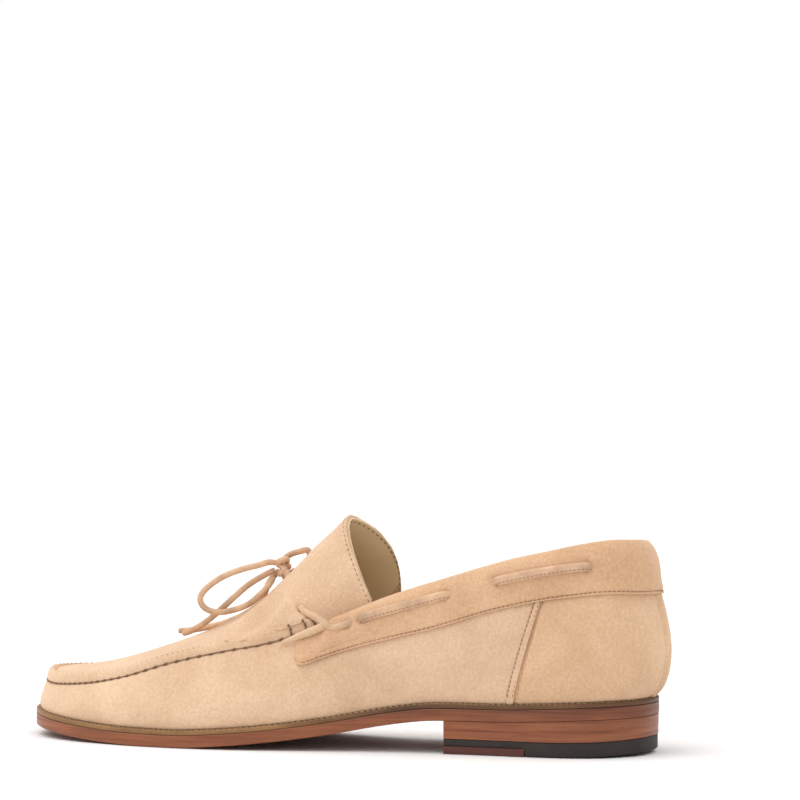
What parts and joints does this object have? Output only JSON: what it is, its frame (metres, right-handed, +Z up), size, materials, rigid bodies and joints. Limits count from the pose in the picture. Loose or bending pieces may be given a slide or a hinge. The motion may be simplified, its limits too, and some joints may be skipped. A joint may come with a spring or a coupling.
{
  "type": "laced suede moccasin",
  "caption": "Low suede moccasin for a left foot, with a sewn apron and tongue, a rolled collar threaded with a lace tied in a bow, and a welted leather sole with a stacked heel.",
  "frame": {"origin": "on the floor, under the middle of the shoe's bounding box without its free bow", "axes": "+Y points to the heel and -Y to the toe, +X to the outer side of the left foot, +Z up"},
  "size_m": [0.101, 0.2974, 0.101],
  "materials": {
    "suede": "napped suede, matt",
    "lining_leather": "smooth calf lining, low sheen",
    "lace_leather": "rolled leather lace, satin",
    "sole_leather": "vegetable-tanned sole leather, burnished edge",
    "welt_leather": "waxed leather welt, satin",
    "rubber": "moulded rubber, matt",
    "heel_insert_leather": "dyed sole leather, satin",
    "cork": "granular cork, matt",
    "insole_leather": "plain insole leather, matt",
    "pad_foam": "soft latex foam, matt",
    "stiffener": "fibre stiffener board, matt",
    "steel": "plain steel, satin"
  },
  "bodies": {
    "shoe": {"apron": "suede", "apron_lining": "lining_leather", "bow_end_inner": "lace_leather", "bow_end_outer": "lace_leather", "bow_knot": "lace_leather", "bow_loop_inner": "lace_leather", "bow_loop_outer": "lace_leather", "collar": "suede", "cork_filler": "cork", "heel_counter": "stiffener", "heel_insert": "heel_insert_leather", "heel_lift_lower": "sole_leather", "heel_lift_upper": "sole_leather", "heel_nail_1": "steel", "heel_nail_2": "steel", "heel_nail_3": "steel", "heel_nail_4": "steel", "heel_nail_5": "steel", "heel_pad": "pad_foam", "heel_top_piece": "rubber", "insole_board": "insole_leather", "lace": "lace_leather", "outsole": "sole_leather", "quarter_inner": "suede", "quarter_lining": "lining_leather", "quarter_outer": "suede", "shank": "steel", "sock_liner": "lining_leather", "toe_puff": "stiffener", "vamp": "suede", "vamp_lining": "lining_leather", "welt": "welt_leather"},
    "tongue": {"tongue_flap": "suede", "tongue_lining": "lining_leather"}
  },
  "joints": [
    {"name": "tongue_flex", "type": "hinge", "parent": "shoe", "child": "tongue", "pos_m": [0, -0.013, 0.0886], "axis": [1, 0, 0], "range_deg": [0, 12], "stiffness_Nm_per_rad": 0.01}
  ]
}
